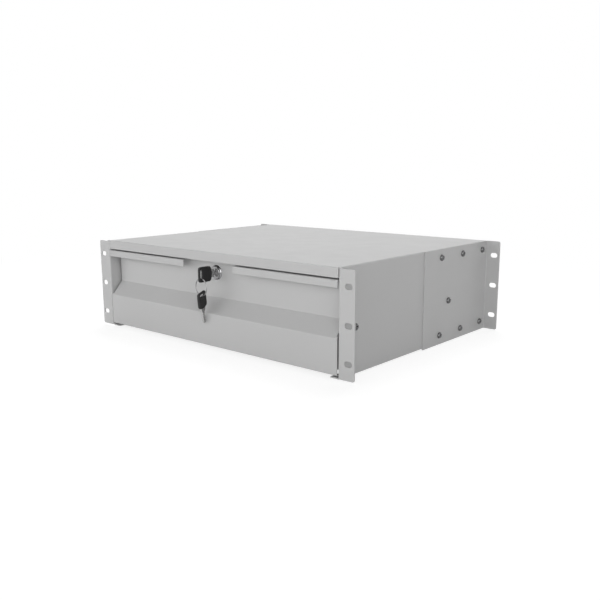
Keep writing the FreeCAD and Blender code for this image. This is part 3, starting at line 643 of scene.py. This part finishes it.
def split_ring(turns=1.9, half_wide=0.6, half_thick=0.28, start=35.0):
    """Middle line: a circle of ring_radius, sideways s(a) = -coil_offset + 2 coil_offset
    smooth((a - middle of the wire) / step_angle + 1/2), with smooth(u) = 3 u^2 - 2 u^3."""
    a = np.linspace(0.0, 2.0 * np.pi * turns, 300)[:, None]
    b = np.linspace(0.0, 2.0 * np.pi, 14, endpoint=False)[None, :]
    step = np.clip((a - np.pi * turns + 0.5 * step_angle) / step_angle, 0.0, 1.0)
    sideways = -coil_offset + 2.0 * coil_offset * step * step * (3.0 - 2.0 * step)
    radial = ring_radius + half_wide * rounded_square(b, 4) * np.cos(b) * np.ones_like(a)
    across = sideways + half_thick * rounded_square(b, 4) * np.sin(b)
    angle = (a + math.radians(start))[..., None]
    outwards = np.cos(angle) * ring_side + np.sin(angle) * upwards
    forward = np.cross(upwards, ring_side)
    points = ring_middle + radial[..., None] * outwards + across[..., None] * forward
    return closed_ends(points) / 1000.0


skin("split_key_ring", "ring", "spring_steel", [split_ring()], "key_ring")

# %% [markdown]
# ## Floor and background
# The photograph is cut out on white.  A large floor stands under the case and takes its soft
# shadow.  To the camera, and in the mirror of plated pieces, it is white.  Four fifths of that
# is its own light, so the shadow stays faint, and further out it glows fully, so that no
# horizon shows.  Matt surfaces get only the light that a pale floor throws back.  A floor
# that was only lit would need so much light to turn white that the object would be too bright.

# %% Floor
floor_gap, floor_half = 0.0005, 12.0
floor_z = cad_low.z - floor_gap
floor_corners = [(x * floor_half, y * floor_half, floor_z)
                 for x, y in ((-1, -1), (1, -1), (1, 1), (-1, 1))]
floor_mesh = bpy.data.meshes.new("floor")
floor_mesh.from_pydata(floor_corners, [], [(0, 1, 2, 3)])
floor = bpy.data.objects.new("floor", floor_mesh)
bpy.context.scene.collection.objects.link(floor)
print("floor at", round(floor_z, 4))

# %% Light paths and distance
def ray_is(tree, *kinds):
    """1 for rays of these kinds, such as Camera or Glossy, and 0 for all others."""
    rays = add_node(tree, "ShaderNodeLightPath")
    answer = rays.outputs["Is %s Ray" % kinds[0]]
    for kind in kinds[1:]:
        either = add_node(tree, "ShaderNodeMath", operation="MAXIMUM")
        join(tree, answer, either.inputs[0])
        join(tree, rays.outputs["Is %s Ray" % kind], either.inputs[1])
        answer = either.outputs["Value"]
    return answer


def distance_out(tree, near, far):
    """0 within near metres of the object's middle and 1 beyond far metres."""
    place = add_node(tree, "ShaderNodeNewGeometry")
    length = add_node(tree, "ShaderNodeVectorMath", operation="LENGTH")
    join(tree, place.outputs["Position"], length.inputs[0])
    spread = add_node(tree, "ShaderNodeMapRange", interpolation_type="SMOOTHSTEP",
                      sockets={"From Min": near, "From Max": far})
    join(tree, length.outputs["Value"], spread.inputs["Value"])
    return spread.outputs["Result"]


tell(ray_is, distance_out)

# %% Floor material
near_glow, shadow_tone, pale_tone = 0.82, (0.3, 0.3, 0.3), (0.8, 0.8, 0.8)
floor_material, floor_tree, floor_shader = new_material("pale_floor", Roughness=1.0)
floor_shader.inputs["Specular IOR Level"].default_value = 0.0
seen = ray_is(floor_tree, "Camera", "Glossy", "Transmission")
outwards = distance_out(floor_tree, 0.45, 1.1)
own_light = add_node(floor_tree, "ShaderNodeMapRange",
                     sockets={"To Min": near_glow, "To Max": 1.0})
join(floor_tree, outwards, own_light.inputs["Value"])
glow = add_node(floor_tree, "ShaderNodeMath", operation="MULTIPLY")
join(floor_tree, own_light.outputs["Result"], glow.inputs[0])
join(floor_tree, seen, glow.inputs[1])
lit = tint_between(floor_tree, outwards, shadow_tone, (0.0, 0.0, 0.0))
surface = add_node(floor_tree, "ShaderNodeMix", data_type="RGBA")
join(floor_tree, seen, surface.inputs["Factor"])
surface.inputs["A"].default_value = (*pale_tone, 1.0)
join(floor_tree, lit, surface.inputs["B"])
join(floor_tree, surface.outputs["Result"], floor_shader.inputs["Base Color"])
floor_shader.inputs["Emission Color"].default_value = (1.0, 1.0, 1.0, 1.0)
join(floor_tree, glow.outputs["Value"], floor_shader.inputs["Emission Strength"])
floor_mesh.materials.append(floor_material)
print("floor material", floor_material.name)

# %% [markdown]
# The world behind it is white to the camera and in mirrors.  To matt surfaces it is nearly
# dark: an even sky would light every side alike and take the shape out of the folded sheets,
# so lighting them is the lamps' work.

# %% World
world = bpy.data.worlds.new("studio")
bpy.context.scene.world = world
world.use_nodes = True
world_tree = world.node_tree
unseen_strength, seen_strength = 0.03, 1.0
backdrop = add_node(world_tree, "ShaderNodeMix", data_type="FLOAT",
                    sockets={"A": unseen_strength, "B": seen_strength})
world_seen = ray_is(world_tree, "Camera", "Glossy", "Transmission")
join(world_tree, world_seen, backdrop.inputs["Factor"])
sky = world_tree.nodes["Background"]
sky.inputs["Color"].default_value = (1.0, 1.0, 1.0, 1.0)
join(world_tree, backdrop.outputs["Result"], sky.inputs["Strength"])
print("world", world.name)

# %% [markdown]
# ## Lamps
# Six soft boxes do the rest.  The strongest is overhead and stands behind the front, so the
# slope of the finger recess stays darker than the panels, as in the photograph.  Three more
# face the drawer from the front and both of its corners.  Two weak ones fill the right side
# and the back.  Big lamps give the soft, even greys of the photograph.  Their powers were found
# by rendering each lamp alone and solving for the mix that comes nearest to it.

# %% Soft boxes
def soft_box(name, place, target, size, power):
    """A square area lamp of size metres and power watts at place, turned to face target."""
    data = bpy.data.lights.new(name, "AREA")
    data.shape = "SQUARE"
    data.size = size
    data.energy = power
    lamp = bpy.data.objects.new(name, data)
    lamp.location = place
    lamp.rotation_euler = (Vector(target) - Vector(place)).to_track_quat("-Z", "Y").to_euler()
    bpy.context.scene.collection.objects.link(lamp)


middle = (cad_low + cad_high) / 2.0
soft_box("over_and_behind", (-0.8, 1.3, 2.5), middle, 2.2, 56.0)
soft_box("front", (0.5, -3.0, 0.35), middle, 2.0, 40.0)
soft_box("front_left", (-1.8, -2.4, 0.7), middle, 2.0, 27.5)
soft_box("front_right", (2.5, -1.7, 0.8), middle, 2.4, 44.0)
soft_box("right", (2.8, 0.3, 0.9), middle, 1.6, 6.0)
soft_box("behind", (0.9, 3.4, 0.8), middle, 2.0, 14.0)

# %% [markdown]
# ## Camera
# The lens, the direction and the place were worked out from the photograph, by fitting the
# corners, slots and edges of the case.  The camera is turned by its three axes: right, up and
# the way it looks, which are the columns of its rotation.

# %% Camera
camera_place = (0.70184, -0.62509, 0.18082)
azimuth, elevation, roll = (math.radians(a) for a in (40.92, 10.953, -0.171))
ahead = Vector((-math.sin(azimuth) * math.cos(elevation), math.cos(azimuth) * math.cos(elevation),
                -math.sin(elevation)))
level = Vector((math.cos(azimuth), math.sin(azimuth), 0.0))
upright = level.cross(ahead)
right = math.cos(roll) * level + math.sin(roll) * upright
up = right.cross(ahead)
camera_data = bpy.data.cameras.new("photo_camera")
camera_data.sensor_fit = "HORIZONTAL"
camera_data.sensor_width = 36.0
camera_data.lens = 42.99
camera_data.clip_start = 0.05
camera_data.clip_end = 50.0
camera = bpy.data.objects.new("photo_camera", camera_data)
bpy.context.scene.collection.objects.link(camera)
turn = Matrix((right, up, -ahead)).transposed().to_4x4()
camera.matrix_world = Matrix.Translation(camera_place) @ turn
bpy.context.scene.camera = camera
bpy.context.scene.view_settings.view_transform = "Standard"
print("camera", tuple(round(v, 4) for v in camera.location))
